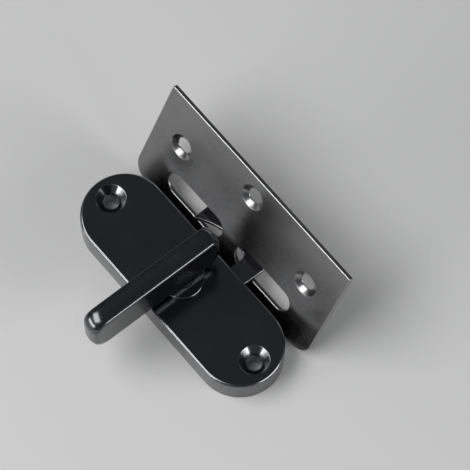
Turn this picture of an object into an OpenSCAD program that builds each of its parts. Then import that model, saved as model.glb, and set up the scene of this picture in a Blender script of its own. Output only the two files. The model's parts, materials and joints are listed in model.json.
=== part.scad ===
// Turn-handle hook latch with a slotted keeper plate.
// The origin is on the pivot axis, in the plane of the base's back face.
// X runs along the base, Y points at the keeper, Z points out of the door.

/* [Base cover] */
// Overall length of the base
base_l = 70; // [66:0.5:90]
// Overall width of the base, and the diameter of its round ends
base_w = 23.4; // [22:0.1:28]
// Height of the base, back plate included
base_h = 8.5; // [7.8:0.1:11]
// Thickness of the cover's walls and top
cover_wall = 0.8; // [0.6:0.1:1]
// Radius of the rounded edge round the cover's top
cover_edge_r = 0.7; // [0.3:0.1:0.8]

/* [Back plate] */
// Thickness of the back plate
back_t = 1.2; // [0.8:0.1:1.5]
// Gap between the back plate and the cover's walls
back_gap = 0.1; // [0.05:0.05:0.2]
// Distance of each small back screw from the inside of the cover's long wall
back_screw_inset = 3.9; // [3.4:0.1:4.4]
// Clearance between the hook's path and the posts of the small back screws
post_clearance = 1.6; // [0.5:0.1:2]
// Thread diameter of the small back screws
back_screw_d = 2; // [1.6:0.2:2.4]
// Head diameter of the small back screws
back_screw_head_d = 3.6; // [3:0.1:4]
// Depth of the small back screws in their posts
back_screw_depth = 4.5; // [3:0.5:5]
// Outer diameter of the posts that take the small back screws
post_d = 4; // [3.6:0.1:4.4]

/* [Screw holes] */
// Distance of each of the base's two screw holes from the nearer end
screw_inset = 6; // [5.8:0.1:7]
// Diameter of every mounting screw hole
screw_hole_d = 4.4; // [3.4:0.1:4.8]
// Diameter of the countersinks in the cover
base_sink_d = 8; // [6.8:0.1:8.4]
// Depth of the countersinks in the cover
base_sink_depth = 1.9; // [1.4:0.1:2.4]
// Outer diameter of the spacer sleeves round the mounting screws
sleeve_d = 6.4; // [6:0.1:7]

/* [Spindle] */
// Diameter of the spindle's upper journal
journal_d = 6; // [5.6:0.1:6.4]
// How far the journal stands proud of the corners of the square that drives the hook
square_shoulder = 0.03; // [0.01:0.01:0.3]
// How much narrower the spindle's lower stub is than the square
stub_step = 0.2; // [0.1:0.1:0.6]
// Side of the square tang inside the handle
tang_side = 3.4; // [3:0.1:3.6]
// Diameter of the riveted end, flush with the handle's top
rivet_d = 3; // [2.4:0.1:3.2]
// Height of the riveted end
rivet_h = 2; // [1:0.5:3]
// Radial running clearance of the spindle in its bushes
running_gap = 0.05; // [0.02:0.01:0.09]
// Clearance of the square and the tang in their sockets, each side
socket_gap = 0.04; // [0.02:0.01:0.06]

/* [Bushes] */
// Width of the upper bush's flange, outside its barrel
flange_lip = 1.8; // [1:0.1:2.4]
// Height of the upper bush's flange above the cover
flange_h = 1.15; // [0.8:0.05:1.5]
// Thickness of the upper bush's barrel round the spindle
bush_wall = 1.1; // [0.8:0.1:1.4]
// Outer diameter of the lower bush
lower_bush_d = 8.4; // [7:0.1:9]
// Space between the lower bush and the retaining clip
lower_bush_gap = 1.25; // [0.3:0.05:1.5]

/* [Handle] */
// Width of the handle bar
handle_w = 5.8; // [5.6:0.1:8]
// Height of the handle bar
handle_h = 16.5; // [12:0.5:22]
// Reach of the handle from the pivot to its grip end
handle_grip = 30.6; // [24:0.1:36]
// Reach of the handle from the pivot to its blunt end
handle_heel = 11.3; // [8:0.1:13]
// How far the ends of the handle bow outwards
handle_bow = 0.9; // [0.4:0.1:1.6]
// Radius of the rounded upper corner of the grip end
grip_corner_r = 4.8; // [1:0.1:6]
// Radius of the rounded upper corner of the blunt end
heel_corner_r = 3.7; // [1:0.1:6]
// Radius of the rounded lower corner of both ends
foot_corner_r = 7; // [1:0.1:7.2]
// Gap between the handle and the upper bush
handle_gap = 0.1; // [0.05:0.05:0.3]
// Turn of the handle on its spindle, towards the open side
handle_set = 1.5; // [0:0.5:3]

/* [Hook plate] */
// Thickness of the hook plate
hook_t = 1.5; // [1.2:0.1:1.5]
// Gap between the hook plate and the cover's underside
hook_gap = 0.15; // [0.1:0.05:0.3]
// Clearance between the inside of the hook's arc and the keeper's bridge
reach_gap = 0.83; // [0.6:0.01:1.2]
// Width of the hook's arc, across its path
arc_w = 4.4; // [2.5:0.1:4.5]
// How far the hook's tip falls short of the base's width, along X
tip_inset = 0.2; // [0:0.1:2]
// Clearance between the arm and the cover's near wall when the hook is turned in
arm_clearance = 0.17; // [0.1:0.01:0.6]
// Clearance between the arm and the keeper's bridge, along X
arm_gap = 2.6; // [2:0.1:4]
// Radius of the corner between the arm and the arc
arm_corner_r = 1.5; // [0.5:0.1:2.5]
// Clearance between the hook's round hub and the cover's walls
hub_clearance = 0.4; // [0.3:0.1:1]
// Angle that the hook turns from locked to open
turn_angle = 87.5; // [80:0.5:87.5]
// Radius of the stop slot's middle line
stop_slot_r = 8.2; // [7.6:0.1:8.6]
// Direction of the stop pin from the pivot, from the X axis
stop_pin_angle = 150; // [140:5:160]
// Diameter of the stop pin
stop_pin_d = 2; // [1.6:0.1:2.2]
// Clearance between the stop pin and its slot
stop_clearance = 0.3; // [0.3:0.05:0.5]
// Clearance round the hook where it leaves the cover
mouth_clearance = 0.3; // [0.2:0.05:0.5]

/* [Washer and clip] */
// Outer diameter of the wave washer
wave_d = 9; // [7:0.1:10]
// Thickness of the wave washer's strip
wave_t = 0.3; // [0.2:0.05:0.4]
// Installed height of the wave washer
wave_h = 0.9; // [0.7:0.1:1.2]
// Number of waves round the wave washer
wave_count = 3; // [2:1:4]
// Thickness of the retaining clip
clip_t = 0.5; // [0.4:0.1:0.8]
// Outer diameter of the retaining clip
clip_d = 8; // [6:0.1:9]
// Depth of the clip's groove in the spindle
groove_depth = 0.5; // [0.3:0.1:0.7]

/* [Keeper plate] */
// Width of the keeper plate
keeper_w = 69.4; // [66:0.2:84]
// Height of the keeper plate, measured along its face
keeper_h = 36; // [34:0.5:46]
// Thickness of the keeper plate
keeper_t = 1.3; // [1:0.1:1.4]
// Radius of the keeper's two lower corners
keeper_corner_r = 5; // [2:0.5:6]
// Lean of the keeper away from the base
keeper_lean = 23.2; // [20:0.1:25]
// Gap between the keeper's lower edge and the base's side
keeper_gap = 0.3; // [0.2:0.05:0.6]
// Clearance between the hook and the lower edge of the keeper's slots
slot_clearance = 0.34; // [0.3:0.01:1]
// Height of each slot, which is also the diameter of its round ends
slot_h = 6.85; // [6.4:0.05:7.5]
// Width of the bridge between the slots
bridge_w = 5.6; // [4.4:0.1:6]
// Distance of each slot's outer end from the middle
slot_outer_x = 24; // [22:0.5:28]
// Distance of the outer screw holes from the middle
keeper_hole_x = 24.6; // [22:0.1:28]
// Height of the outer screw holes, measured along the face
keeper_hole_low = 21.5; // [19:0.1:24]
// Height of the middle screw hole, measured along the face
keeper_hole_high = 29.2; // [27:0.1:30.5]
// Diameter of the keeper's countersinks
keeper_sink_d = 7.2; // [6.6:0.1:7.4]
// Straight part of each keeper hole, behind its countersink
keeper_land = 0.3; // [0.2:0.1:0.5]

/* [Hidden] */

// Smoothness of round surfaces
round_fn = 96;
// Overrun of every cut past the face that it opens
cut = 0.5;
// Steps in a rounded edge's profile
edge_steps = 6;

end_r = base_w / 2;
end_x = base_l / 2 - end_r;
inner_r = end_r - cover_wall;
cover_under = base_h - cover_wall;
back_r = inner_r - back_gap;
screw_x = base_l / 2 - screw_inset;
sleeve_top = base_h - base_sink_depth - cover_wall;
cup_d = base_sink_d + 2 * cover_wall;

hook_top = cover_under - hook_gap;
hook_low = hook_top - hook_t;
hub_r = inner_r - hub_clearance;
wave_low = hook_low - wave_h;
clip_low = wave_low - clip_t;
lower_bush_top = clip_low - lower_bush_gap;
square_side = (journal_d - 2 * square_shoulder) / sqrt(2);
stub_d = square_side - stub_step;
barrel_d = journal_d + 2 * bush_wall;
flange_d = barrel_d + 2 * flange_lip;
flange_top = base_h + flange_h;
handle_low = flange_top + handle_gap;
handle_top = handle_low + handle_h;
tang_top = handle_top - rivet_h;
stub_low = back_t + 0.1;
slot_half_w = stop_pin_d / 2 + stop_clearance;

// The leaning plate touches the ground with the back of its lower edge
keeper_z = keeper_t * sin(keeper_lean);
keeper_y = end_r + keeper_gap;
slot_low = (hook_low - slot_clearance - keeper_z) / cos(keeper_lean);

// The arc clears the back of the bridge at the height of the hook's top
bridge_back_y = keeper_y + hook_top * tan(keeper_lean) + keeper_t * cos(keeper_lean);
hook_inner_r = norm([bridge_w / 2, bridge_back_y]) + reach_gap;
hook_outer_r = hook_inner_r + arc_w;
hook_tip_x = end_r - tip_inset;
arm_inner_x = bridge_w / 2 + arm_gap;
back_screw_y = inner_r - back_screw_inset;
back_screw_x = sqrt(pow(hook_outer_r + post_clearance + post_d / 2, 2) - pow(back_screw_y, 2));
bow_r = (pow(handle_w / 2, 2) + pow(handle_bow, 2)) / (2 * handle_bow);

metal_black = [0.10, 0.10, 0.11];
metal_grey = [0.30, 0.30, 0.31];
metal_zinc = [0.62, 0.63, 0.65];
metal_brass = [0.72, 0.58, 0.30];

// Outline of a bar with round ends, lying along X
module stadium(half_l, r) {
    square([2 * half_l, 2 * r], center = true);
    for (side = [-1, 1])
        translate([side * half_l, 0])
            circle(r, $fn = round_fn);
}

// Solid with the outline of the base and a rounded upper edge
module rounded_base(half_l, r, h, edge) {
    profile = concat(
        [[0, 0], [r, 0]],
        [for (i = [0 : edge_steps])
            [r - edge + edge * cos(90 * i / edge_steps), h - edge + edge * sin(90 * i / edge_steps)]],
        [[0, h]]
    );
    for (side = [-1, 1])
        translate([side * half_l, 0, 0])
            rotate_extrude($fn = round_fn)
                polygon(profile);
    rotate([90, 0, 90])
        translate([0, 0, -half_l])
            linear_extrude(2 * half_l)
                union() {
                    polygon(profile);
                    mirror([1, 0])
                        polygon(profile);
                }
}

// The cavity stays clear of the posts and of the countersunk cups
module cover_cavity() {
    difference() {
        translate([0, 0, -cut])
            linear_extrude(cover_under + cut)
                stadium(end_x, inner_r);
        for (side = [-1, 1]) {
            translate([side * screw_x, 0, sleeve_top])
                cylinder(h = base_h, d = cup_d, $fn = round_fn);
            translate([side * back_screw_x, side * back_screw_y, back_t])
                cylinder(h = base_h, d = post_d, $fn = round_fn);
        }
    }
}

// Opening in the far wall, which the hook sweeps through
module cover_mouth() {
    mouth_low_x = arm_inner_x - mouth_clearance;
    mouth_high_x = sqrt(pow(hook_outer_r, 2) - pow(inner_r, 2)) + mouth_clearance;
    translate([mouth_low_x, inner_r - cover_wall, hook_low - mouth_clearance])
        cube([mouth_high_x - mouth_low_x, 3 * cover_wall, cover_under - hook_low + mouth_clearance]);
}

module cover() {
    color(metal_black)
        difference() {
            rounded_base(end_x, end_r, base_h, cover_edge_r);
            cover_cavity();
            cover_mouth();
            translate([0, 0, -cut])
                cylinder(h = base_h + 2 * cut, d = barrel_d, $fn = round_fn);
            for (side = [-1, 1]) {
                translate([side * screw_x, 0, -cut])
                    cylinder(h = base_h + 2 * cut, d = screw_hole_d, $fn = round_fn);
                translate([side * screw_x, 0, base_h - base_sink_depth])
                    cylinder(h = base_sink_depth, d1 = screw_hole_d, d2 = base_sink_d, $fn = round_fn);
                translate([side * back_screw_x, side * back_screw_y, -cut])
                    cylinder(h = cut + back_t + back_screw_depth, d = back_screw_d, $fn = round_fn);
            }
        }
}

module back_plate() {
    color(metal_zinc)
        difference() {
            linear_extrude(back_t)
                stadium(end_x, back_r);
            for (side = [-1, 1]) {
                translate([side * screw_x, 0, -cut])
                    cylinder(h = back_t + 2 * cut, d = screw_hole_d, $fn = round_fn);
                translate([side * back_screw_x, side * back_screw_y, 0])
                    back_screw_shape(socket_gap);
            }
            stop_pin_place()
                translate([0, 0, back_t / 2])
                    cylinder(h = back_t, d = stop_pin_d, $fn = round_fn);
        }
}

// Countersunk screw, head down, with its head flush with the back
module back_screw_shape(gap) {
    head_h = (back_screw_head_d - back_screw_d) / 2;
    translate([0, 0, -gap])
        cylinder(h = head_h + gap, d1 = back_screw_head_d + 2 * gap, d2 = back_screw_d, $fn = round_fn);
    cylinder(h = back_t + back_screw_depth - 2 * socket_gap, d = back_screw_d + 2 * gap, $fn = round_fn);
}

module back_screws() {
    drive_depth = 0.5;
    color(metal_zinc)
        for (side = [-1, 1])
            translate([side * back_screw_x, side * back_screw_y, 0])
                difference() {
                    back_screw_shape(0);
                    for (turn = [0, 90])
                        rotate(turn)
                            translate([0, 0, drive_depth / 2 - cut / 2])
                                cube([back_screw_d, 0.4, drive_depth + cut], center = true);
                }
}

module screw_sleeve(side) {
    color(metal_zinc)
        translate([side * screw_x, 0, back_t])
            difference() {
                cylinder(h = sleeve_top - back_t, d = sleeve_d, $fn = round_fn);
                translate([0, 0, -cut])
                    cylinder(h = sleeve_top + cut, d = screw_hole_d, $fn = round_fn);
            }
}

module screw_sleeve_left() {
    screw_sleeve(-1);
}

module screw_sleeve_right() {
    screw_sleeve(1);
}

// Flanged bush: its flange is the raised ring under the handle
module pivot_bush() {
    flange_edge = 0.25;
    color(metal_black)
        difference() {
            union() {
                translate([0, 0, base_h])
                    cylinder(h = flange_h - flange_edge, d = flange_d, $fn = round_fn);
                translate([0, 0, flange_top - flange_edge])
                    cylinder(h = flange_edge, d1 = flange_d, d2 = flange_d - 2 * flange_edge, $fn = round_fn);
                translate([0, 0, cover_under])
                    cylinder(h = cover_wall, d = barrel_d, $fn = round_fn);
            }
            translate([0, 0, -cut])
                cylinder(h = flange_top + 2 * cut, d = journal_d + 2 * running_gap, $fn = round_fn);
        }
}

module lower_bush() {
    color(metal_brass)
        translate([0, 0, back_t])
            difference() {
                cylinder(h = lower_bush_top - back_t, d = lower_bush_d, $fn = round_fn);
                translate([0, 0, -cut])
                    cylinder(h = lower_bush_top, d = stub_d + 2 * running_gap, $fn = round_fn);
            }
}

module stop_pin_place() {
    rotate(stop_pin_angle)
        translate([stop_slot_r, 0, 0])
            children();
}

module stop_pin() {
    color(metal_zinc)
        stop_pin_place()
            translate([0, 0, back_t / 2])
                cylinder(h = hook_top - back_t / 2, d = stop_pin_d, $fn = round_fn);
}

// Plan of the handle: a bar along Y with gently bowed ends
module handle_plan() {
    translate([-handle_w / 2, -handle_grip + handle_bow])
        square([handle_w, handle_grip + handle_heel - 2 * handle_bow]);
    intersection() {
        translate([-handle_w / 2, -handle_grip])
            square([handle_w, 2 * handle_bow]);
        translate([0, -handle_grip + bow_r])
            circle(bow_r, $fn = round_fn);
    }
    intersection() {
        translate([-handle_w / 2, handle_heel - 2 * handle_bow])
            square([handle_w, 2 * handle_bow]);
        translate([0, handle_heel - bow_r])
            circle(bow_r, $fn = round_fn);
    }
}

// What a rounded corner of radius r takes off a square corner that points to the upper left
module corner_off(r) {
    difference() {
        translate([-cut, -r])
            square([r + cut, r + cut]);
        translate([r, -r])
            circle(r, $fn = round_fn);
    }
}

module end_corners_off(reach, upper_r) {
    translate([-reach, handle_top])
        corner_off(upper_r);
    translate([-reach, handle_low])
        mirror([0, 1])
            corner_off(foot_corner_r);
}

// Side view of the handle: a rectangle with all four corners rounded
module handle_side() {
    difference() {
        translate([-handle_grip, handle_low])
            square([handle_grip + handle_heel, handle_h]);
        end_corners_off(handle_grip, grip_corner_r);
        mirror([1, 0])
            end_corners_off(handle_heel, heel_corner_r);
    }
}

module handle() {
    socket = tang_side + 2 * socket_gap;
    color(metal_black)
        rotate(-handle_set)
            difference() {
                intersection() {
                    linear_extrude(handle_top + cut)
                        handle_plan();
                    rotate([90, 0, 90])
                        translate([0, 0, -handle_w])
                            linear_extrude(2 * handle_w)
                                handle_side();
                }
                translate([-socket / 2, -socket / 2, handle_low - cut])
                    cube([socket, socket, tang_top - handle_low + cut + socket_gap]);
                cylinder(h = handle_top + cut, d = rivet_d + 2 * socket_gap, $fn = round_fn);
            }
}

module spindle() {
    square_low = wave_low;
    color(metal_grey)
        rotate(-handle_set)
            difference() {
                union() {
                    translate([0, 0, stub_low])
                        cylinder(h = hook_low - stub_low, d = stub_d, $fn = round_fn);
                    rotate(handle_set)
                        translate([-square_side / 2, -square_side / 2, square_low])
                            cube([square_side, square_side, cover_under - square_low]);
                    translate([0, 0, hook_top])
                        cylinder(h = flange_top - hook_top, d = journal_d, $fn = round_fn);
                    translate([-tang_side / 2, -tang_side / 2, base_h])
                        cube([tang_side, tang_side, tang_top - base_h]);
                    translate([0, 0, tang_top - rivet_h])
                        cylinder(h = 2 * rivet_h, d = rivet_d, $fn = round_fn);
                }
                translate([0, 0, clip_low])
                    difference() {
                        cylinder(h = clip_t, d = journal_d, $fn = round_fn);
                        translate([0, 0, -cut])
                            cylinder(h = clip_t + 2 * cut, d = stub_d - 2 * groove_depth, $fn = round_fn);
                    }
            }
}

// Points of an arc round a centre, ends included
function arc_points(centre, r, from, to, steps) =
    [for (i = [0 : steps])
        let (a = from + (to - from) * i / steps)
            centre + r * [cos(a), sin(a)]];

// Plan of the arm and of the arc that hooks behind the keeper's bridge
module hook_arc_plan() {
    // The arm's outer side closes up with the wall when the hook is turned in
    lean = tan(90 - turn_angle);
    side_x = (inner_r - arm_clearance) / sin(turn_angle);
    outer_y = (sqrt((1 + lean * lean) * pow(hook_outer_r, 2) - side_x * side_x) - lean * side_x)
        / (1 + lean * lean);
    outer_from = atan2(outer_y, side_x + lean * outer_y);
    outer_to = 180 - acos(hook_tip_x / hook_outer_r);
    inner_from = 180 - acos(hook_tip_x / hook_inner_r);
    corner_x = arm_inner_x - arm_corner_r;
    corner_y = sqrt(pow(hook_inner_r - arm_corner_r, 2) - corner_x * corner_x);
    inner_to = atan2(corner_y, corner_x);
    root_y = hub_r / 3;
    polygon(concat(
        arc_points([0, 0], hook_outer_r, outer_from, outer_to, 40),
        arc_points([0, 0], hook_inner_r, inner_from, inner_to, 36),
        arc_points([corner_x, corner_y], arm_corner_r, inner_to, 0, 8),
        [[arm_inner_x, root_y], [side_x + lean * root_y, root_y]]
    ));
}

// Curved slot that the stop pin runs in, with round ends
module stop_slot_plan() {
    from = stop_pin_angle;
    to = stop_pin_angle + turn_angle;
    end_of = function(a) stop_slot_r * [cos(a), sin(a)];
    polygon(concat(
        arc_points([0, 0], stop_slot_r + slot_half_w, from, to, 24),
        arc_points(end_of(to), slot_half_w, to + 15, to + 165, 10),
        arc_points([0, 0], stop_slot_r - slot_half_w, to, from, 24),
        arc_points(end_of(from), slot_half_w, from + 195, from + 345, 10)
    ));
}

module hook_plate() {
    bore = square_side + 2 * socket_gap;
    color(metal_grey)
        translate([0, 0, hook_low])
            linear_extrude(hook_t)
                difference() {
                    union() {
                        circle(hub_r, $fn = round_fn);
                        hook_arc_plan();
                    }
                    square(bore, center = true);
                    stop_slot_plan();
                }
}

// Height of the wave washer's middle line at an angle round it
function wave_at(angle) = (wave_h - wave_t) / 2 * (1 + sin(wave_count * angle));

module wave_washer() {
    steps = 48;
    hole_r = square_side / sqrt(2) + 0.15;
    rim_r = wave_d / 2;
    points = [for (i = [0 : steps - 1])
        let (a = 360 * i / steps, z = wave_low + wave_at(a))
            each [
                [hole_r * cos(a), hole_r * sin(a), z],
                [rim_r * cos(a), rim_r * sin(a), z],
                [rim_r * cos(a), rim_r * sin(a), z + wave_t],
                [hole_r * cos(a), hole_r * sin(a), z + wave_t]
            ]];
    faces = [for (i = [0 : steps - 1], k = [0 : 3])
        let (j = (i + 1) % steps, n = (k + 1) % 4)
            each [[4 * i + k, 4 * i + n, 4 * j + n], [4 * i + k, 4 * j + n, 4 * j + k]]];
    color(metal_zinc)
        polyhedron(points = points, faces = faces, convexity = 4);
}

// Snap clip with an open side, sprung into the spindle's groove
module retaining_clip() {
    bore = stub_d - 2 * groove_depth + 2 * socket_gap;
    mouth_w = bore * 0.8;
    color(metal_zinc)
        translate([0, 0, clip_low])
            difference() {
                cylinder(h = clip_t, d = clip_d, $fn = round_fn);
                translate([0, 0, -cut])
                    cylinder(h = clip_t + 2 * cut, d = bore, $fn = round_fn);
                translate([-mouth_w / 2, -clip_d, -cut])
                    cube([mouth_w, clip_d, clip_t + 2 * cut]);
            }
}

// Face of the keeper: X along the plate, Y up its face from the lower edge
module keeper_plan() {
    r = keeper_corner_r;
    difference() {
        union() {
            translate([-keeper_w / 2, r])
                square([keeper_w, keeper_h - r]);
            translate([-keeper_w / 2 + r, 0])
                square([keeper_w - 2 * r, keeper_h]);
            for (side = [-1, 1])
                translate([side * (keeper_w / 2 - r), r])
                    circle(r, $fn = round_fn);
        }
        for (side = [-1, 1])
            translate([side * (bridge_w / 2 + slot_outer_x) / 2, slot_low + slot_h / 2])
                stadium((slot_outer_x - bridge_w / 2 - slot_h) / 2, slot_h / 2);
    }
}

module keeper_plate() {
    holes = [
        [-keeper_hole_x, keeper_hole_low],
        [0, keeper_hole_high],
        [keeper_hole_x, keeper_hole_low]
    ];
    color(metal_grey)
        translate([0, keeper_y, keeper_z])
            rotate([90 - keeper_lean, 0, 0])
                difference() {
                    translate([0, 0, -keeper_t])
                        linear_extrude(keeper_t)
                            keeper_plan();
                    for (hole = holes)
                        translate([hole[0], hole[1], 0]) {
                            translate([0, 0, -keeper_t - cut])
                                cylinder(h = keeper_t + 2 * cut, d = screw_hole_d, $fn = round_fn);
                            translate([0, 0, -keeper_t + keeper_land])
                                cylinder(h = keeper_t - keeper_land, d1 = screw_hole_d,
                                    d2 = keeper_sink_d, $fn = round_fn);
                        }
                }
}

cover();
back_plate();
back_screws();
screw_sleeve_left();
screw_sleeve_right();
pivot_bush();
lower_bush();
stop_pin();
handle();
spindle();
hook_plate();
wave_washer();
retaining_clip();
keeper_plate();
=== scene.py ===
import json
import math

import bmesh
import bpy
import numpy as np
from mathutils import Matrix, Vector


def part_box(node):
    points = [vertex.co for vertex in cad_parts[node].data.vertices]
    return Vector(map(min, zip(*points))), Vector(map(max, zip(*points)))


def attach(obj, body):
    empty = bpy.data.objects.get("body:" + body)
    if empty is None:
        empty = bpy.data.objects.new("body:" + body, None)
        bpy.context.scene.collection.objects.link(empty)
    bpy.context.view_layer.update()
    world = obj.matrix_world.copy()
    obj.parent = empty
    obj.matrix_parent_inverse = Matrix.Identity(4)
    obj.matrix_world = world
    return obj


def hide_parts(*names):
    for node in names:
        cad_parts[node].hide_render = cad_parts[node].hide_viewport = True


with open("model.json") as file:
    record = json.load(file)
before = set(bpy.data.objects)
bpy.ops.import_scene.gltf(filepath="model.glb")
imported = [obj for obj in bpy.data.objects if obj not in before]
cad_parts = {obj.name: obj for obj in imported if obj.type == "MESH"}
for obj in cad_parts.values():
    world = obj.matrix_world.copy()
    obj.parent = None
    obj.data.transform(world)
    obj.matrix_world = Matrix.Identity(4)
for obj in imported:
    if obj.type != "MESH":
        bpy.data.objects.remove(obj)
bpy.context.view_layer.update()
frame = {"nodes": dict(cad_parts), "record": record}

# ---------------------------------------------------------------------------------------------
# Cover: the round-ended shell of the base, drawn from steel sheet and plated black.
# Two countersunk holes take the mounting screws, the pivot bush is pressed through its middle, and
# its far wall has a low opening for the hook.
# ---------------------------------------------------------------------------------------------
MM = 0.001


class Shell:
    """A closed body in millimetres, made of rings of points, bands between them and flat faces."""

    def __init__(self):
        self.bm = bmesh.new()
        # Per-vertex mark of rounded edges and cones, which the finishes paint lighter: rubbed wear
        # together with a painted highlight.
        self.wear = self.bm.verts.layers.float.new("wear")

    def ring(self, points, wear=0.0):
        made = [self.bm.verts.new(p) for p in points]
        for vert in made:
            vert[self.wear] = wear
        return made

    def band(self, one, two):
        for i in range(len(one)):
            j = (i + 1) % len(one)
            self.bm.faces.new((one[i], one[j], two[j], two[i]))

    def stack(self, rows):
        """Joins rings, given as (points, wear), and returns the first and the last."""
        rings = [self.ring(*row) for row in rows]
        for one, two in zip(rings, rings[1:]):
            self.band(one, two)
        return rings[0], rings[-1]

    def flat(self, *rings):
        """Fills the flat face between an outer ring and the holes in it."""
        edges = []
        for ring in rings:
            for one, two in zip(ring, ring[1:] + ring[:1]):
                edges.append(self.bm.edges.get((one, two)) or self.bm.edges.new((one, two)))
        bmesh.ops.triangle_fill(self.bm, use_beauty=True, edges=edges)

    def mesh(self, name, place=None):
        """Turns the shell into a mesh in metres, each point carried through place."""
        for vert in self.bm.verts:
            vert.co = (place(vert.co) if place else vert.co) * MM
        bmesh.ops.recalc_face_normals(self.bm, faces=self.bm.faces)
        mesh = bpy.data.meshes.new(name)
        self.bm.to_mesh(mesh)
        self.bm.free()
        return mesh


def add_object(name, mesh, material):
    mesh.materials.clear()
    mesh.materials.append(material)
    made = bpy.data.objects.new(name, mesh)
    bpy.context.scene.collection.objects.link(made)
    return made


def settle(made):
    """Bakes an object's modifiers into its mesh."""
    graph = bpy.context.evaluated_depsgraph_get()
    mesh = bpy.data.meshes.new_from_object(made.evaluated_get(graph))
    made.modifiers.clear()
    made.data = mesh
    return made


def dress(made, crease=40):
    """Shades rounded edges smoothly, and keeps the flat faces next to them truly flat."""
    made.data.shade_smooth()
    made.data.set_sharp_from_angle(angle=math.radians(crease))
    even = made.modifiers.new("even shading", "WEIGHTED_NORMAL")
    even.keep_sharp = True
    return settle(made)


def stadium_loop(half, r, z, steps=40):
    """Outline of a bar with round ends along X, anticlockwise."""
    points = []
    for side, start in ((1, -90), (-1, 90)):
        for i in range(steps + 1):
            turn = math.radians(start + 180 * i / steps)
            points.append((side * half + r * math.cos(turn), r * math.sin(turn), z))
    return points


def circle_loop(x, y, r, z, steps=72):
    return [
        (x + r * math.cos(math.tau * i / steps), y + r * math.sin(math.tau * i / steps), z)
        for i in range(steps)
    ]


def quarter(r, steps):
    """Steps of a rounded edge, from the wall to the face: (inset from the wall, drop below the face)."""
    turns = [math.pi / 2 * i / steps for i in range(steps + 1)]
    return [(r * (1 - math.cos(t)), r * (1 - math.sin(t))) for t in turns]


def glint_and_wear_share(i, steps):
    """Rubbed wear and painted highlight across a rounded edge: full in its middle, none where it meets the
    flats.
    """
    return math.sin(math.pi * i / steps)


class Wire:
    """A shader socket that takes part in Python sums."""

    def __init__(self, finish, socket):
        self.finish, self.socket = finish, socket

    def sum(self, operation, *values):
        return self.finish.node("ShaderNodeMath", {"operation": operation}, dict(enumerate(values)))

    def __add__(self, other):
        return self.sum("ADD", self, other)

    def __sub__(self, other):
        return self.sum("SUBTRACT", self, other)

    def __rsub__(self, other):
        return self.sum("SUBTRACT", other, self)

    def __mul__(self, other):
        return self.sum("MULTIPLY", self, other)

    __radd__, __rmul__ = __add__, __mul__


class Finish:
    """A procedural material under construction."""

    def __init__(self, name):
        self.material = bpy.data.materials.new(name)
        self.material.use_nodes = True
        self.nodes = self.material.node_tree.nodes
        self.links = self.material.node_tree.links
        self.surface = self.nodes["Principled BSDF"]
        self.place = self.node("ShaderNodeTexCoord", output="Object")

    def node(self, kind, settings=None, inputs=None, output=0):
        made = self.nodes.new(kind)
        for name, value in (settings or {}).items():
            setattr(made, name, value)
        for name, value in (inputs or {}).items():
            self.feed(made.inputs[name], value)
        return Wire(self, made.outputs[output])

    def feed(self, socket, value):
        if isinstance(value, Wire):
            self.links.new(value.socket, socket)
        else:
            socket.default_value = value

    def noise(self, per_metre, detail=2.0, stretch=(1, 1, 1)):
        place = self.node(
            "ShaderNodeMapping", {}, {"Vector": self.place, "Scale": [per_metre * s for s in stretch]}
        )
        return self.node(
            "ShaderNodeTexNoise", {}, {"Vector": place, "Scale": 1.0, "Detail": detail}, "Fac"
        )

    def between(self, value, low, high, start=0.0, end=1.0):
        inputs = {"Value": value, "From Min": low, "From Max": high, "To Min": start, "To Max": end}
        return self.node("ShaderNodeMapRange", {"clamp": True}, inputs)

    def blend(self, share, one, two):
        made = self.nodes.new("ShaderNodeMix")
        made.data_type = "RGBA"
        for index, value in ((0, share), (6, one), (7, two)):
            self.feed(made.inputs[index], value)
        return Wire(self, made.outputs[2])

    def bump(self, height, depth, strength=1.0):
        inputs = {"Height": height, "Distance": depth, "Strength": strength}
        return self.node("ShaderNodeBump", {}, inputs, "Normal")

    def paint(self, **inputs):
        for name, value in inputs.items():
            self.feed(self.surface.inputs[name.replace("_", " ")], value)
        return self.material


def black_plate(name, colour, glint_and_rub_colour, roughness, brushed=None):
    """Black nickel plate over steel: fine grain, faint handling marks, and rounded edges lightened, partly
    rubbed wear and partly a painted highlight.
    """
    finish = Finish(name)
    wear = finish.node("ShaderNodeAttribute", {"attribute_name": "wear"}, output="Fac")
    patches = finish.noise(260, 3)
    marks = finish.between(finish.noise(95, 4), 0.42, 0.68)
    grain = finish.noise(9000, 2)
    specks = finish.between(finish.noise(2600, 1), 0.70, 0.76)
    # Rounded edges and countersink cones are mixed towards the light colour: partly rubbed wear, partly a
    # painted highlight standing in for reflected light on them.
    glint_and_rub = wear * finish.between(patches, 0.35, 0.65, 0.8, 1.0)
    clouded = finish.blend(marks * 0.35, (*colour, 1), (*[1.22 * c for c in colour], 1))
    tinted = finish.blend(glint_and_rub * 0.3 + specks * 0.05, clouded, (*glint_and_rub_colour, 1))
    rough = roughness + marks * 0.03 + (grain - 0.5) * 0.03
    height = grain
    if brushed:
        lines = finish.noise(5200, 3, brushed)
        rough = rough + (lines - 0.5) * 0.03
        height = grain + lines * 0.05
    return finish.paint(
        Base_Color=tinted,
        Metallic=1.0,
        Roughness=rough,
        Normal=finish.bump(height, 0.1e-6),
    )


mounts = {mount["name"]: mount for mount in frame["record"]["mounts"]}
low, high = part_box("cover")
COVER_H = high.z / MM
END_R = (high.y - low.y) / 2 / MM
END_X = (high.x - low.x) / 2 / MM - END_R
SCREW_X = mounts["base_screws"]["dims"]["spacing_x_mm"] / 2
HOLE_R = mounts["base_screws"]["dims"]["hole_r_mm"]
COVER_WALL = 0.8
COVER_UNDER = COVER_H - COVER_WALL
COVER_EDGE_R = 0.7
FOOT_CHAMFER = 0.1
SINK_R = 4.0
SINK_DEPTH = 1.9
SINK_EDGE_R = 0.12
SINK_STEPS = 4
HOLE_BREAK_W, HOLE_BREAK_H = 0.04, 0.06
BARREL_R = 4.1
EDGE_STEPS = 8


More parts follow.
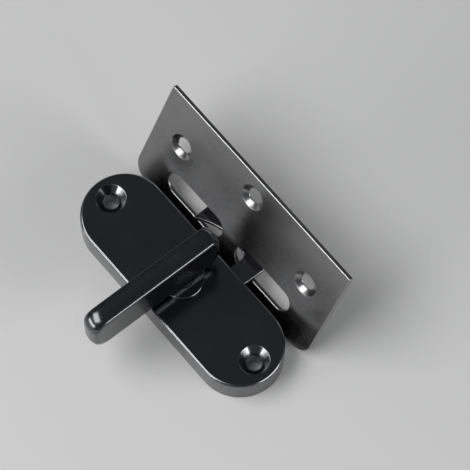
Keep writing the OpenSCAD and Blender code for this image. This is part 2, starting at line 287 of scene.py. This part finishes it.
def countersink(shell, x, y, face, back, sink_r, sink_depth, cup=None):
    """Rounded rim, cone and straight hole from face down to back; returns the rings at both ends."""
    rows = [(circle_loop(x, y, sink_r + SINK_EDGE_R, face), 0.0)]
    # The rim's rounding and the whole cone get the full mark, so they are painted brighter: a painted
    # highlight, with rubbed wear on the rim.
    for i in range(1, SINK_STEPS + 1):
        turn = math.pi / 4 * i / SINK_STEPS
        ring_r = sink_r + SINK_EDGE_R - SINK_EDGE_R * 2 * math.sin(turn)
        rows.append((circle_loop(x, y, ring_r, face - SINK_EDGE_R * 2 * (1 - math.cos(turn))), 1.0))
    rows.append((circle_loop(x, y, HOLE_R + HOLE_BREAK_W, face - sink_depth), 1.0))
    rows.append((circle_loop(x, y, HOLE_R, face - sink_depth - HOLE_BREAK_H), 0.0))
    rows.append((circle_loop(x, y, HOLE_R, back), 0.0))
    if cup:
        cup_r, cup_top = cup
        rows.append((circle_loop(x, y, cup_r, back), 0.0))
        rows.append((circle_loop(x, y, cup_r, cup_top), 0.0))
    return shell.stack(rows)


shell = Shell()
outside = [
    (stadium_loop(END_X, END_R - FOOT_CHAMFER, 0), 0.0),
    (stadium_loop(END_X, END_R, FOOT_CHAMFER), 0.3),
]
for i, (inset, drop) in enumerate(quarter(COVER_EDGE_R, EDGE_STEPS)):
    row = stadium_loop(END_X, END_R - inset, COVER_H - drop)
    outside.append((row, glint_and_wear_share(i, EDGE_STEPS)))
foot, top = shell.stack(outside)
inside = [(stadium_loop(END_X, END_R - COVER_WALL, z), 0.0) for z in (0, COVER_UNDER)]
sill, ceiling = shell.stack(inside)
shell.flat(foot, sill)
top_holes, ceiling_holes = [], []
for side in (-1, 1):
    cup = (SINK_R + COVER_WALL, COVER_UNDER)
    rim, cup_rim = countersink(
        shell, side * SCREW_X, 0, COVER_H, COVER_H - SINK_DEPTH - COVER_WALL, SINK_R, SINK_DEPTH, cup
    )
    top_holes.append(rim)
    ceiling_holes.append(cup_rim)
rim, barrel = shell.stack([(circle_loop(0, 0, BARREL_R, z), 0.0) for z in (COVER_H, COVER_UNDER)])
shell.flat(top, rim, *top_holes)
shell.flat(ceiling, barrel, *ceiling_holes)

black_cover = black_plate("black cover plate", (0.105, 0.107, 0.112), (0.42, 0.42, 0.43), 0.17)
cover = add_object("cover_shell", shell.mesh("cover_shell"), black_cover)

# The opening in the far wall leaves room for the hook's whole sweep
hook_low, hook_high = (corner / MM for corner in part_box("hook_plate"))
MOUTH_GAP = 0.3
MOUTH_X = (5.1, 19.3)
MOUTH_Z = (hook_low.z - MOUTH_GAP, COVER_UNDER)
cutter = Shell()
near_y, far_y = END_R - 1.5 * COVER_WALL, END_R + COVER_WALL
corners = [(MOUTH_X[0], near_y), (MOUTH_X[1], near_y), (MOUTH_X[1], far_y), (MOUTH_X[0], far_y)]
one, two = cutter.stack([([(x, y, z) for x, y in corners], 0.0) for z in MOUTH_Z])
cutter.flat(one)
cutter.flat(two)
mouth = add_object("mouth_cutter", cutter.mesh("mouth_cutter"), black_cover)
cut = cover.modifiers.new("mouth", "BOOLEAN")
cut.object = mouth
cut.solver = "EXACT"
settle(cover)
bpy.data.objects.remove(mouth)
dress(cover)
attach(cover, "root")
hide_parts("cover")

# ---------------------------------------------------------------------------------------------
# Back plate: blanked from steel sheet and zinc plated. It closes the base, with two plain holes
# for the mounting screws and two countersunk ones for the small screws that hold it.
# ---------------------------------------------------------------------------------------------


def zinc_plate(name, colour, roughness):
    """Zinc plate: cloudy passivation over a fine rolled grain."""
    finish = Finish(name)
    wear = finish.node("ShaderNodeAttribute", {"attribute_name": "wear"}, output="Fac")
    clouds = finish.between(finish.noise(420, 4), 0.35, 0.68)
    rolled = finish.noise(3000, 3, (0.06, 1, 1))
    plated = finish.blend(clouds, (*colour, 1), (*[0.78 * c for c in colour], 1))
    tint = finish.blend(wear * 0.5, plated, (*[1.25 * c for c in colour], 1))
    rough = roughness + clouds * 0.12 + (rolled - 0.5) * 0.1
    return finish.paint(
        Base_Color=tint, Metallic=1.0, Roughness=rough, Normal=finish.bump(rolled, 1.5e-6)
    )


BACK_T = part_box("back_plate")[1].z / MM
BACK_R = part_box("back_plate")[1].y / MM
BACK_EDGE_R = 0.15
BACK_STEPS = 4
SMALL_HEAD_R = 1.8
SMALL_SHANK_R = 1.0
SMALL_HEAD_H = SMALL_HEAD_R - SMALL_SHANK_R
SOCKET_GAP = 0.04
screws_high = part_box("back_screws")[1] / MM
SMALL_X, SMALL_Y = screws_high.x - SMALL_HEAD_R, screws_high.y - SMALL_HEAD_R

shell = Shell()
rows = [(stadium_loop(END_X, BACK_R, BACK_T), 0.0)]
for i, (inset, drop) in enumerate(quarter(BACK_EDGE_R, BACK_STEPS)):
    rows.append((stadium_loop(END_X, BACK_R - inset, drop), glint_and_wear_share(i, BACK_STEPS)))
inner, outer = shell.stack(rows)
backs, fronts = [outer], [inner]
for side in (-1, 1):
    plain, far = shell.stack([
        (circle_loop(side * SCREW_X, 0, HOLE_R + BACK_EDGE_R, 0), 0.0),
        (circle_loop(side * SCREW_X, 0, HOLE_R, BACK_EDGE_R), 0.5),
        (circle_loop(side * SCREW_X, 0, HOLE_R, BACK_T), 0.0),
    ])
    backs.append(plain)
    fronts.append(far)
    x, y = side * SMALL_X, side * SMALL_Y
    sunk, far = shell.stack([
        (circle_loop(x, y, SMALL_HEAD_R + SOCKET_GAP, 0), 0.3),
        (circle_loop(x, y, SMALL_SHANK_R + SOCKET_GAP, SMALL_HEAD_H), 0.0),
        (circle_loop(x, y, SMALL_SHANK_R + SOCKET_GAP, BACK_T), 0.0),
    ])
    backs.append(sunk)
    fronts.append(far)
shell.flat(*backs)
shell.flat(*fronts)

zinc = zinc_plate("zinc plated steel", (0.55, 0.56, 0.58), 0.30)
back_sheet = add_object("back_sheet", shell.mesh("back_sheet"), zinc)
dress(back_sheet)
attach(back_sheet, "root")
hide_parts("back_plate")

# ---------------------------------------------------------------------------------------------
# Back screws: two small countersunk steel screws, zinc plated, driven through the back plate into
# the posts in the cover. One screw is drawn, and each copy stops at its own turn.
# ---------------------------------------------------------------------------------------------
SMALL_END = screws_high.z
SMALL_STEPS = 48
TIP_CHAMFER = 0.3
CROSS_DEPTH = 0.5


def cross_ring(reach, half_w, z):
    corner = [(reach, -half_w), (reach, half_w), (half_w, half_w)]
    ring = []
    for quarter_turn in range(4):
        for x, y in corner:
            for _ in range(quarter_turn):
                x, y = -y, x
            ring.append((x, y, z))
    return ring


def screw_pattern():
    """Places the incoming screw at Place and opposite it, each copy turned at random."""
    tree = bpy.data.node_groups.new("screws in their holes", "GeometryNodeTree")
    inputs = {
        "Screw": "NodeSocketGeometry",
        "Place": "NodeSocketVector",
        "Seed": "NodeSocketInt",
        "Material": "NodeSocketMaterial",
    }
    for name, kind in inputs.items():
        tree.interface.new_socket(name, in_out="INPUT", socket_type=kind)
    tree.interface.new_socket("Screws", in_out="OUTPUT", socket_type="NodeSocketGeometry")

    def node(kind, settings=None, links=None):
        made = tree.nodes.new(kind)
        for name, value in (settings or {}).items():
            setattr(made, name, value)
        for name, value in (links or {}).items():
            if isinstance(value, bpy.types.NodeSocket):
                tree.links.new(value, made.inputs[name])
            else:
                made.inputs[name].default_value = value
        return made

    given = node("NodeGroupInput").outputs
    start = node("ShaderNodeVectorMath", {"operation": "SCALE"}, {0: given["Place"], "Scale": -1.0})
    apart = node("ShaderNodeVectorMath", {"operation": "SCALE"}, {0: given["Place"], "Scale": 2.0})
    spots = node(
        "GeometryNodeMeshLine",
        {"mode": "OFFSET"},
        {"Count": 2, "Start Location": start.outputs[0], "Offset": apart.outputs[0]},
    )
    turn = node(
        "FunctionNodeRandomValue",
        {"data_type": "FLOAT_VECTOR"},
        {0: (0, 0, 0), 1: (0, 0, math.pi / 2), "Seed": given["Seed"]},
    )
    copies = node(
        "GeometryNodeInstanceOnPoints",
        {},
        {"Points": spots.outputs[0], "Instance": given["Screw"], "Rotation": turn.outputs[0]},
    )
    real = node("GeometryNodeRealizeInstances", {}, {"Geometry": copies.outputs[0]})
    painted = node(
        "GeometryNodeSetMaterial", {}, {"Geometry": real.outputs[0], "Material": given["Material"]}
    )
    node("NodeGroupOutput", {}, {"Screws": painted.outputs[0]})
    return tree


def grow(made, tree, **values):
    """Runs a node tree on an object with the given inputs and keeps the result as its mesh."""
    growth = made.modifiers.new(tree.name, "NODES")
    growth.node_group = tree
    for item in tree.interface.items_tree:
        if item.in_out == "INPUT" and item.name in values:
            growth[item.identifier] = values[item.name]
    return settle(made)


shell = Shell()
head_and_shank = [
    (SMALL_HEAD_R - 0.12, 0, 0.0),
    (SMALL_HEAD_R - 0.06, 0.03, 0.6),
    (SMALL_HEAD_R - 0.08, 0.08, 0.3),
    (SMALL_SHANK_R, SMALL_HEAD_H, 0.0),
    (SMALL_SHANK_R, SMALL_END - TIP_CHAMFER, 0.0),
    (SMALL_SHANK_R - TIP_CHAMFER, SMALL_END, 0.0),
]
face, tip = shell.stack([(circle_loop(0, 0, r, z, SMALL_STEPS), wear) for r, z, wear in head_and_shank])
brim, floor = shell.stack([
    (cross_ring(0.95, 0.2, 0), 0.4), (cross_ring(0.55, 0.13, CROSS_DEPTH), 0.0)
])
shell.flat(face, brim)
shell.flat(floor)
shell.flat(tip)
small_screws = add_object("small_screws", shell.mesh("small_screws"), zinc)
grow(small_screws, screw_pattern(), Place=(SMALL_X * MM, SMALL_Y * MM, 0), Seed=5, Material=zinc)
dress(small_screws)
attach(small_screws, "root")
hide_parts("back_screws")

# ---------------------------------------------------------------------------------------------
# What stands on the back plate inside the cover: two screw sleeves, the stop pin and the lower
# bush. The sleeves and the pin are zinc-plated steel, the bush is turned brass.
# ---------------------------------------------------------------------------------------------


def turned_brass(name):
    """Turned brass: rings left by the tool round the pivot axis."""
    finish = Finish(name)
    settings = {"wave_type": "RINGS", "rings_direction": "Z"}
    rings = finish.node(
        "ShaderNodeTexWave",
        settings,
        {"Vector": finish.place, "Scale": 1200.0, "Distortion": 0.4},
        "Fac",
    )
    clouds = finish.noise(700, 3)
    tint = finish.blend(clouds, (0.66, 0.50, 0.24, 1), (0.50, 0.36, 0.16, 1))
    return finish.paint(
        Base_Color=tint, Metallic=1.0, Roughness=0.24 + rings * 0.12, Normal=finish.bump(rings, 1e-6)
    )


for name in ("screw_sleeve_left", "screw_sleeve_right", "stop_pin"):
    mesh = frame["nodes"][name].data
    mesh.materials.clear()
    mesh.materials.append(zinc)
mesh = frame["nodes"]["lower_bush"].data
mesh.materials.clear()
mesh.materials.append(turned_brass("turned brass"))

# ---------------------------------------------------------------------------------------------
# Pivot bush: the raised ring under the handle, turned from steel bar and plated with the cover.
# Its barrel is pressed into the cover and the spindle turns in its bore.
# ---------------------------------------------------------------------------------------------
low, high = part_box("pivot_bush")
FLANGE_R = high.x / MM
FLANGE_TOP = high.z / MM
FLANGE_EDGE_R = 0.28
FLANGE_STEPS = 6
BORE_R = 3.05
BORE_CHAMFER = 0.2

shell = Shell()
rows = [
    (circle_loop(0, 0, BARREL_R, COVER_UNDER), 0.0),
    (circle_loop(0, 0, BARREL_R, COVER_H), 0.0),
    (circle_loop(0, 0, FLANGE_R - FOOT_CHAMFER, COVER_H), 0.0),
    (circle_loop(0, 0, FLANGE_R, COVER_H + FOOT_CHAMFER), 0.3),
]
for i, (inset, drop) in enumerate(quarter(FLANGE_EDGE_R, FLANGE_STEPS)):
    rows.append((circle_loop(0, 0, FLANGE_R - inset, FLANGE_TOP - drop), glint_and_wear_share(i, FLANGE_STEPS)))
rows += [
    (circle_loop(0, 0, BORE_R + BORE_CHAMFER, FLANGE_TOP), 0.0),
    (circle_loop(0, 0, BORE_R, FLANGE_TOP - BORE_CHAMFER), 0.4),
    (circle_loop(0, 0, BORE_R, COVER_UNDER), 0.0),
]
one, two = shell.stack(rows)
shell.band(two, one)
bush = add_object("pivot_bush_ring", shell.mesh("pivot_bush_ring"), black_cover)
dress(bush)
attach(bush, "root")
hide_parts("pivot_bush")

# ---------------------------------------------------------------------------------------------
# Handle: a plain flat bar, cast or milled, with bowed ends and rounded corners, plated black.
# It is pressed on the spindle's square tang and held by the riveted end that shows on its top.
# ---------------------------------------------------------------------------------------------
low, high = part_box("handle")
HANDLE_W = 5.8
HANDLE_GRIP = 30.6
HANDLE_HEEL = 11.3
HANDLE_BOW = 0.9
HANDLE_LOW, HANDLE_TOP = low.z / MM, high.z / MM
GRIP_CORNER_R = 4.8
HEEL_CORNER_R = 3.7
FOOT_CORNER_R = 7.0
UPRIGHT_EDGE_R = 0.8
HANDLE_EDGE_R = 0.4
HANDLE_FOOT_R = 1.0
HANDLE_SET = math.radians(-1.5)
BOW_R = ((HANDLE_W / 2) ** 2 + HANDLE_BOW**2) / (2 * HANDLE_BOW)


def rounded_meet(a, b, r):
    """Distance field of two faces that meet in an edge of radius r."""
    both = np.hypot(np.maximum(a + r, 0), np.maximum(b + r, 0))
    return np.minimum(np.maximum(a, b), -r) + both


def handle_field(p):
    """Signed distance to the handle's skin: below zero inside."""
    x, y, z = p.T
    grip = np.hypot(x, np.minimum(y + HANDLE_GRIP - BOW_R, 0)) - BOW_R
    heel = np.hypot(x, np.maximum(y - HANDLE_HEEL + BOW_R, 0)) - BOW_R
    plan = rounded_meet(np.abs(x) - HANDLE_W / 2, np.maximum(grip, heel), UPRIGHT_EDGE_R)
    over = np.maximum(
        rounded_meet(z - HANDLE_TOP, grip, GRIP_CORNER_R),
        rounded_meet(z - HANDLE_TOP, heel, HEEL_CORNER_R),
    )
    under = rounded_meet(HANDLE_LOW - z, np.maximum(grip, heel), FOOT_CORNER_R)
    return rounded_meet(rounded_meet(plan, over, HANDLE_EDGE_R), under, HANDLE_FOOT_R)


def slope(field, p, step=1e-4):
    return np.stack([(field(p + d) - field(p - d)) / (2 * step) for d in np.eye(3) * step], axis=1)


def corner_drop(room, r):
    """How far a rounded corner of radius r lies off the flat, where the bar's end is room away."""
    over = min(r, max(0.0, r - room))
    return r - math.sqrt(r**2 - over**2)


def handle_top_at(y):
    if y < 0:
        return HANDLE_TOP - corner_drop(y + HANDLE_GRIP, GRIP_CORNER_R)
    return HANDLE_TOP - corner_drop(HANDLE_HEEL - y, HEEL_CORNER_R)


def handle_foot_at(y):
    return HANDLE_LOW + corner_drop(min(y + HANDLE_GRIP, HANDLE_HEEL - y), FOOT_CORNER_R)


half_w = HANDLE_W / 2
bow_turn = math.asin(half_w / BOW_R)
END_STEPS = 14
flank = []
for i in range(END_STEPS + 1):
    turn = bow_turn * i / END_STEPS
    flank.append((BOW_R * math.sin(turn), -HANDLE_GRIP + BOW_R - BOW_R * math.cos(turn)))
side_from, side_to = -HANDLE_GRIP + HANDLE_BOW, HANDLE_HEEL - HANDLE_BOW
SIDE_STEPS = 36
for i in range(1, SIDE_STEPS):
    share = (1 - math.cos(math.pi * i / SIDE_STEPS)) / 2
    flank.append((half_w, side_from + (side_to - side_from) * share))
HEEL_STEPS = 12
for i in range(HEEL_STEPS + 1):
    turn = bow_turn * (1 - i / HEEL_STEPS)
    flank.append((BOW_R * math.sin(turn), HANDLE_HEEL - BOW_R + BOW_R * math.cos(turn)))
outline = flank + [(-x, y) for x, y in reversed(flank[1:-1])]
count, last = len(outline), len(flank) - 1


def handle_row(inset, height):
    """One ring round the handle, inset towards its middle, at the height given for each y."""
    row = []
    for x, y in outline:
        mid_y = min(max(y, -HANDLE_GRIP + half_w), HANDLE_HEEL - half_w)
        toward = Vector((-x, mid_y - y, 0))
        toward = toward.normalized() if toward.length else toward
        moved_y = y + toward.y * inset
        row.append((x + toward.x * inset, moved_y, height(moved_y)))
    return row


WALL_STEPS, ROUND_STEPS, TOP_COLUMNS = 14, 7, 10
rows = []
for inset, drop in reversed(quarter(HANDLE_FOOT_R, ROUND_STEPS)):
    rows.append((handle_row(inset, lambda y: handle_foot_at(y) + drop), 0.0))
for i in range(1, WALL_STEPS):
    share = i / WALL_STEPS
    wall_low, wall_top = HANDLE_FOOT_R, HANDLE_EDGE_R
    rows.append((
        handle_row(
            0,
            lambda y: (handle_foot_at(y) + wall_low) * (1 - share) + (handle_top_at(y) - wall_top) * share,
        ),
        0.0,
    ))
for i, (inset, drop) in enumerate(quarter(HANDLE_EDGE_R, ROUND_STEPS)):
    rows.append((
        handle_row(inset, lambda y: handle_top_at(y) - drop), glint_and_wear_share(i, ROUND_STEPS)
    ))
shell = Shell()
foot, rim = shell.stack(rows)


def cross_strips(shell, rim, height):
    """Closes the bar's top or foot with strips from side to side."""
    before = None
    for i in range(1, last):
        right, left = rim[i], rim[count - i]
        across = [right]
        for k in range(1, TOP_COLUMNS):
            spot = right.co.lerp(left.co, k / TOP_COLUMNS)
            across.append(shell.ring([(spot.x, spot.y, height(spot.y))])[0])
        across.append(left)
        for k in range(TOP_COLUMNS):
            if before is None:
                shell.bm.faces.new((rim[0], across[k], across[k + 1]))
            else:
                shell.bm.faces.new((before[k], across[k], across[k + 1], before[k + 1]))
        before = across
    for k in range(TOP_COLUMNS):
        shell.bm.faces.new((before[k], rim[last], before[k + 1]))


cross_strips(shell, rim, handle_top_at)
cross_strips(shell, foot, handle_foot_at)

# Each point is drawn onto the field's skin, a little short of the full way so that it settles
SETTLE_ROUNDS, SETTLE_SHARE, LEAST_SLOPE = 12, 0.9, 0.05
points = np.array([vert.co for vert in shell.bm.verts])
for _ in range(SETTLE_ROUNDS):
    lean = slope(handle_field, points)
    far = handle_field(points) / np.maximum((lean**2).sum(1), LEAST_SLOPE)
    points -= far[:, None] * lean * SETTLE_SHARE
for vert, spot in zip(shell.bm.verts, points):
    vert.co = spot
skin = slope(handle_field, points)
skin /= np.linalg.norm(skin, axis=1)[:, None]

turn = np.array([
    [math.cos(HANDLE_SET), -math.sin(HANDLE_SET), 0],
    [math.sin(HANDLE_SET), math.cos(HANDLE_SET), 0],
    [0, 0, 1],
])
black_handle = black_plate("black handle plate", (0.10, 0.102, 0.107), (0.42, 0.42, 0.43), 0.2)
mesh = shell.mesh("handle_bar", lambda p: Vector(turn @ np.array(p)))
mesh.shade_smooth()
mesh.normals_split_custom_set_from_vertices([tuple(turn @ n) for n in skin])
handle = add_object("handle_bar", mesh, black_handle)
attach(handle, "bolt")
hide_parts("handle")

# ---------------------------------------------------------------------------------------------
# Spindle: turned and milled steel. Its square drives the hook, its tang holds the handle, and
# its riveted end is dressed almost flush with the handle's top before plating.
# ---------------------------------------------------------------------------------------------
RIVET_R = 1.5
RIVET_PROUD = 0.006
black_hook = black_plate("black hook plate", (0.10, 0.10, 0.105), (0.5, 0.5, 0.51), 0.19)
mesh = frame["nodes"]["spindle"].data
mesh.materials.clear()
mesh.materials.append(black_hook)

shell = Shell()
foot, rim = shell.stack([
    (circle_loop(0, 0, RIVET_R, HANDLE_TOP - 0.3), 0.0),
    (circle_loop(0, 0, RIVET_R, HANDLE_TOP + RIVET_PROUD / 3), 0.4),
    (circle_loop(0, 0, RIVET_R - 0.06, HANDLE_TOP + RIVET_PROUD), 0.4),
    (circle_loop(0, 0, RIVET_R - 0.2, HANDLE_TOP + RIVET_PROUD), 0.0),
])
shell.flat(foot)
shell.flat(rim)
rivet = add_object("rivet_end", shell.mesh("rivet_end"), black_handle)
dress(rivet, 80)
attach(rivet, "bolt")

# ---------------------------------------------------------------------------------------------
# Hook plate: stamped from steel sheet and plated. It turns with the spindle inside the cover;
# its arc swings through the keeper's slots and lies behind the bridge between them.
# ---------------------------------------------------------------------------------------------


def face_loops(node, z):
    """Outlines of a flat CAD node's face at height z, in millimetres: the outer one first."""
    mesh = frame["nodes"][node].data
    spots, of_vert = {}, []
    for vert in mesh.vertices:
        key = tuple(round(c / MM, 3) for c in vert.co)
        of_vert.append(spots.setdefault(key, len(spots)))
    where = list(spots)
    follow = {}
    for face in mesh.polygons:
        ids = [of_vert[v] for v in face.vertices]
        if all(abs(where[i][2] - z) < 0.01 for i in ids):
            for one, two in zip(ids, ids[1:] + ids[:1]):
                follow[(one, two)] = True
    rim = {one: two for one, two in follow if (two, one) not in follow}
    loops = []
    while rim:
        start, at = next(iter(rim.items()))
        loop = [start]
        del rim[start]
        while at != start:
            loop.append(at)
            at = rim.pop(at)
        loops.append([Vector(where[i][:2]) for i in loop])
    return sorted(loops, key=lambda loop: -max(p.length for p in loop))


def inset_loop(loop, inset, z):
    """Moves an outline towards the material on its left, corners mitred."""
    moved = []
    for before, at, after in zip(loop[-1:] + loop[:-1], loop, loop[1:] + loop[:1]):
        one, two = (at - before).normalized(), (after - at).normalized()
        left = Vector((-one.y - two.y, one.x + two.x)).normalized()
        spread = max(0.5, left.dot(Vector((-one.y, one.x))))
        spot = at + left * (inset / spread)
        moved.append((spot.x, spot.y, z))
    return moved


def stamped_plate(node, edge_r, steps=5):
    """A stamped plate with the outlines of a flat CAD node and rounded edges on both faces."""
    low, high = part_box(node)
    low_z, top_z = low.z / MM, high.z / MM
    shell = Shell()
    below, above = [], []
    for loop in face_loops(node, top_z):
        rows = []
        for i, (inset, drop) in enumerate(quarter(edge_r, steps)):
            rows.insert(0, (inset_loop(loop, inset, low_z + drop), glint_and_wear_share(i, steps)))
        for i, (inset, drop) in enumerate(quarter(edge_r, steps)):
            rows.append((inset_loop(loop, inset, top_z - drop), glint_and_wear_share(i, steps)))
        one, two = shell.stack(rows)
        below.append(one)
        above.append(two)
    shell.flat(*below)
    shell.flat(*above)
    return shell


hook = add_object("hook_stamping", stamped_plate("hook_plate", 0.28).mesh("hook_stamping"), black_hook)
dress(hook)
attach(hook, "bolt")
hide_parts("hook_plate")

# ---------------------------------------------------------------------------------------------
# Wave washer and retaining clip: stamped and sprung from oiled spring steel. The washer presses
# the hook up against the spindle's shoulder and the clip snaps into the spindle's groove.
# ---------------------------------------------------------------------------------------------
spring_steel = zinc_plate("oiled spring steel", (0.36, 0.36, 0.38), 0.22)
for name in ("wave_washer", "retaining_clip"):
    mesh = frame["nodes"][name].data
    mesh.materials.clear()
    mesh.materials.append(spring_steel)

# ---------------------------------------------------------------------------------------------
# Keeper plate: stamped from steel sheet, satin black. It leans away from the base; the hook's arc
# passes through its two slots, and three countersunk screws hold it.
# ---------------------------------------------------------------------------------------------
low, high = (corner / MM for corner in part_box("keeper_plate"))
KEEPER_T = 1.3
KEEPER_EDGE_R = 0.3
KEEPER_CORNER_R = 5.0
KEEPER_TOP_CORNER_R = 0.5
KEEPER_SINK_R = 3.6
KEEPER_LAND = 0.3
SLOT_LOW, SLOT_H = 5.65, 6.85
BRIDGE_HALF, SLOT_OUTER = 2.8, 24.0
back_axis = Vector(mounts["keeper_screw_middle"]["axis"])
along = Vector((0, -back_axis.z, back_axis.y))
toe = Vector((0, low.y, -KEEPER_T * back_axis.z))
KEEPER_HALF = high.x
KEEPER_H = (high.z - toe.z) / along.z


def corner_loop(x_low, x_high, y_low, y_high, radii, inset, z, steps=14):
    """Anticlockwise rectangle with its own radius at each corner, from the lower right one."""
    corners = (
        (x_high, y_low, -1, 1), (x_high, y_high, -1, -1), (x_low, y_high, 1, -1), (x_low, y_low, 1, 1)
    )
    points = []
    for k, ((x, y, dx, dy), r) in enumerate(zip(corners, radii)):
        for i in range(steps + 1):
            turn = math.radians(-90 + 90 * (k + i / steps))
            reach = r - inset
            points.append((x + dx * r + reach * math.cos(turn), y + dy * r + reach * math.sin(turn), z))
    return points


def edge_rows(loop_at, edge_r, steps=5):
    """Rings of a plate's rounded edge, from its back face to its front."""
    rows = []
    for i, (inset, drop) in enumerate(quarter(edge_r, steps)):
        rows.insert(0, (loop_at(inset, -KEEPER_T + drop), glint_and_wear_share(i, steps)))
    for i, (inset, drop) in enumerate(quarter(edge_r, steps)):
        rows.append((loop_at(inset, -drop), glint_and_wear_share(i, steps)))
    return rows


radii = (KEEPER_CORNER_R, KEEPER_TOP_CORNER_R, KEEPER_TOP_CORNER_R, KEEPER_CORNER_R)
shell = Shell()
fronts, backs = [], []
loops = [lambda inset, z: corner_loop(-KEEPER_HALF, KEEPER_HALF, 0, KEEPER_H, radii, inset, z)]
for side in (-1, 1):
    ends = sorted((side * BRIDGE_HALF, side * SLOT_OUTER))
    loops.append(
        lambda inset, z, ends=ends: corner_loop(
            ends[0], ends[1], SLOT_LOW, SLOT_LOW + SLOT_H, [SLOT_H / 2] * 4, -inset, z
        )
    )
for loop_at in loops:
    back, front = shell.stack(edge_rows(loop_at, KEEPER_EDGE_R))
    backs.append(back)
    fronts.append(front)
for name in ("keeper_screw_left", "keeper_screw_middle", "keeper_screw_right"):
    spot = Vector(mounts[name]["pos_m"]) / MM - toe
    front, back = countersink(
        shell, spot.x, spot.dot(along), 0, -KEEPER_T, KEEPER_SINK_R, KEEPER_T - KEEPER_LAND
    )
    fronts.append(front)
    backs.append(back)
shell.flat(*fronts)
shell.flat(*backs)

black_keeper = black_plate(
    "satin black keeper plate", (0.225, 0.225, 0.226), (0.5, 0.5, 0.5), 0.27, (0.05, 1, 1)
)
mesh = shell.mesh("keeper_stamping", lambda p: toe + Vector((p.x, 0, 0)) + along * p.y - back_axis * p.z)
keeper = add_object("keeper_stamping", mesh, black_keeper)
dress(keeper)
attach(keeper, "root")
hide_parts("keeper_plate")

# ---------------------------------------------------------------------------------------------
# Studio: a pale tabletop, three soft boxes and a long-lens camera high in front.
# ---------------------------------------------------------------------------------------------
floor_mesh = bpy.data.meshes.new("tabletop")
FLOOR_HALF = 3.0
floor_mesh.from_pydata(
    [(x * FLOOR_HALF, y * FLOOR_HALF, 0) for x, y in ((-1, -1), (1, -1), (1, 1), (-1, 1))],
    [],
    [(0, 1, 2, 3)],
)
paper = Finish("pale paper")
paper.paint(Base_Color=(0.56, 0.56, 0.555, 1), Roughness=0.6)
floor = add_object("tabletop", floor_mesh, paper.material)
FLOOR_DROP = 0.02
floor.location.z = -FLOOR_DROP * MM

world = bpy.data.worlds.new("studio")
world.use_nodes = True
world.node_tree.nodes["Background"].inputs["Color"].default_value = (0.9, 0.93, 1.0, 1)
world.node_tree.nodes["Background"].inputs["Strength"].default_value = 0.13
bpy.context.scene.world = world


def soft_box(name, place, size, power):
    light = bpy.data.lights.new(name, "AREA")
    light.shape = "RECTANGLE"
    light.size, light.size_y = size
    light.energy = power
    made = bpy.data.objects.new(name, light)
    made.location = place
    made.rotation_mode = "QUATERNION"
    made.rotation_quaternion = (Vector((0, 0.01, 0)) - made.location).to_track_quat("-Z", "Y")
    bpy.context.scene.collection.objects.link(made)


soft_box("front high soft box", Vector((-0.26, -0.42, 0.80)), (0.84, 0.50), 6.8)
soft_box("front low soft box", Vector((-0.26, -0.88, 0.28)), (0.80, 0.22), 4.2)
soft_box("right soft box", Vector((0.88, 0.27, 0.34)), (0.70, 0.34), 6.0)

VIEW_TURN, VIEW_RISE, VIEW_ROLL = (math.radians(a) for a in (48.591, 68.974, 1.428))
VIEW_DISTANCE = 0.8683
VIEW_TARGET = Vector((-0.002896, 0.020470, 0))
back = Vector((
    math.sin(VIEW_TURN) * math.cos(VIEW_RISE),
    -math.cos(VIEW_TURN) * math.cos(VIEW_RISE),
    math.sin(VIEW_RISE),
))
right = Vector((math.cos(VIEW_TURN), math.sin(VIEW_TURN), 0))
up = back.cross(right)
rolled_right = right * math.cos(VIEW_ROLL) + up * math.sin(VIEW_ROLL)
rolled_up = up * math.cos(VIEW_ROLL) - right * math.sin(VIEW_ROLL)
lens = bpy.data.cameras.new("long lens")
lens.lens = 253.1
lens.clip_start, lens.clip_end = 0.05, 10
camera = bpy.data.objects.new("long lens", lens)
axes = Matrix((rolled_right, rolled_up, back)).transposed().to_4x4()
camera.matrix_world = Matrix.Translation(VIEW_TARGET + back * VIEW_DISTANCE) @ axes
bpy.context.scene.collection.objects.link(camera)
bpy.context.scene.camera = camera
bpy.context.scene.view_settings.view_transform = "Standard"
